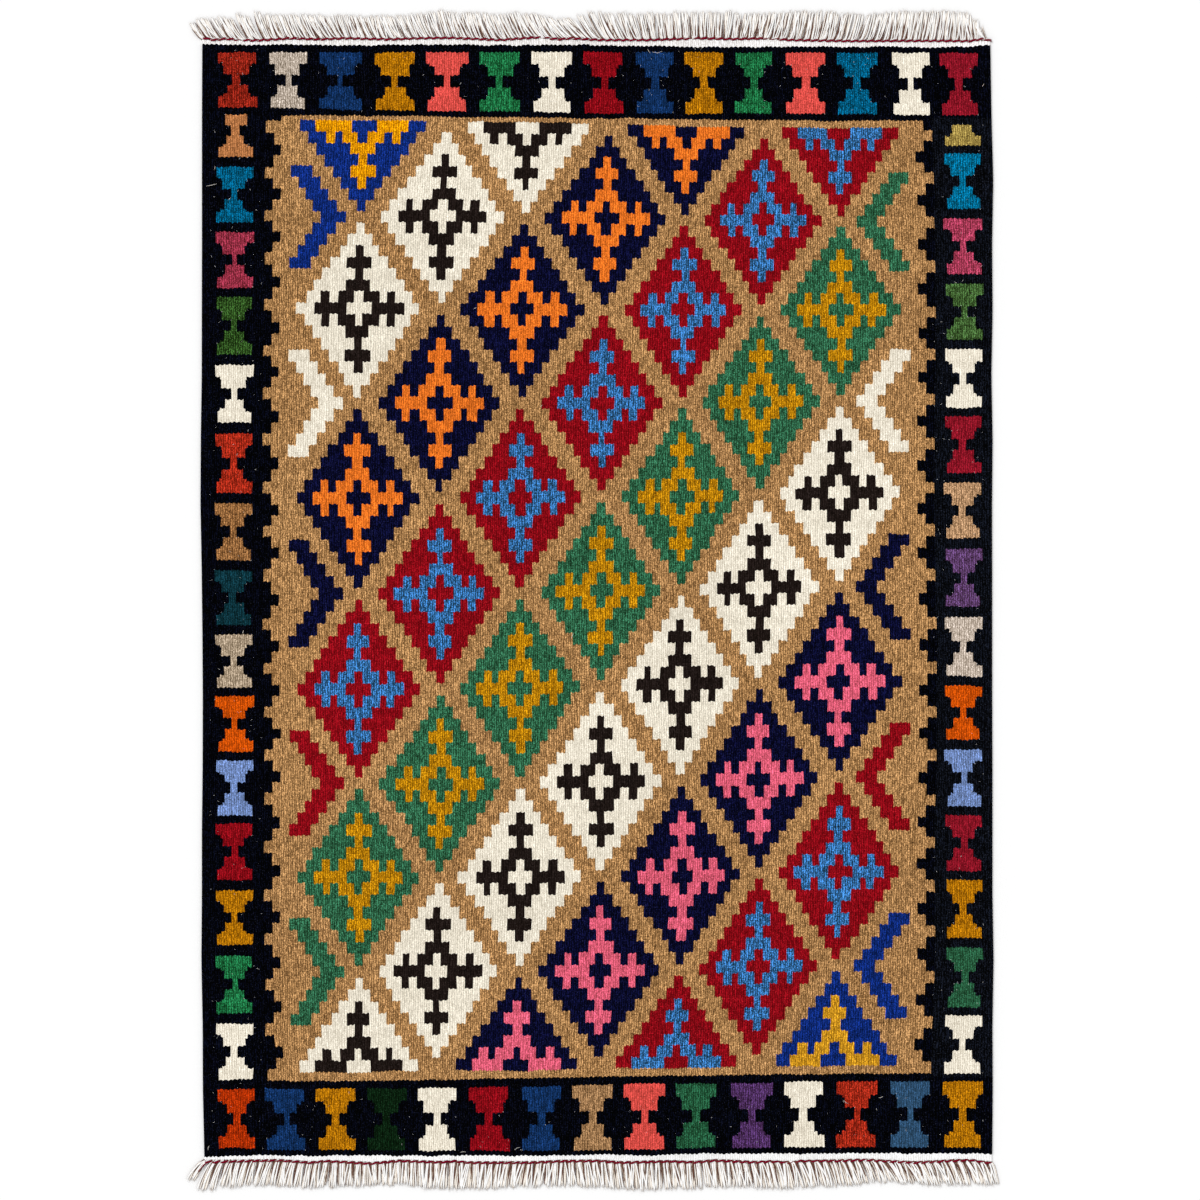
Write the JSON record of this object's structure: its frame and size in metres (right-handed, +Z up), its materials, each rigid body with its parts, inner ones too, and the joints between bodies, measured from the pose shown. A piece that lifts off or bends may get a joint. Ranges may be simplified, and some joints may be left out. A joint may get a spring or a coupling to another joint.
{
  "type": "kilim rug",
  "caption": "Flat-woven wool kilim rug with stepped diamonds, an hourglass border and a knotless cotton fringe at both ends, lying flat.",
  "frame": {"origin": "on the floor under the middle of the rug's box, fringes included", "axes": "+Y along the rug towards the upper end in the picture, +X across it to the right, +Z up out of its face"},
  "size_m": [1.0772, 1.5672, 0.0038],
  "materials": {
    "wool_cloth": "matte ribbed wool flatweave",
    "cotton_fringe": "matte undyed cotton yarn",
    "twined_yarn": "matte crimson wool yarn"
  },
  "bodies": {
    "root": {"kilim_body": "wool_cloth", "end_fringe_north": "cotton_fringe", "end_fringe_south": "cotton_fringe", "twining_north": "twined_yarn", "twining_south": "twined_yarn"}
  },
  "joints": []
}
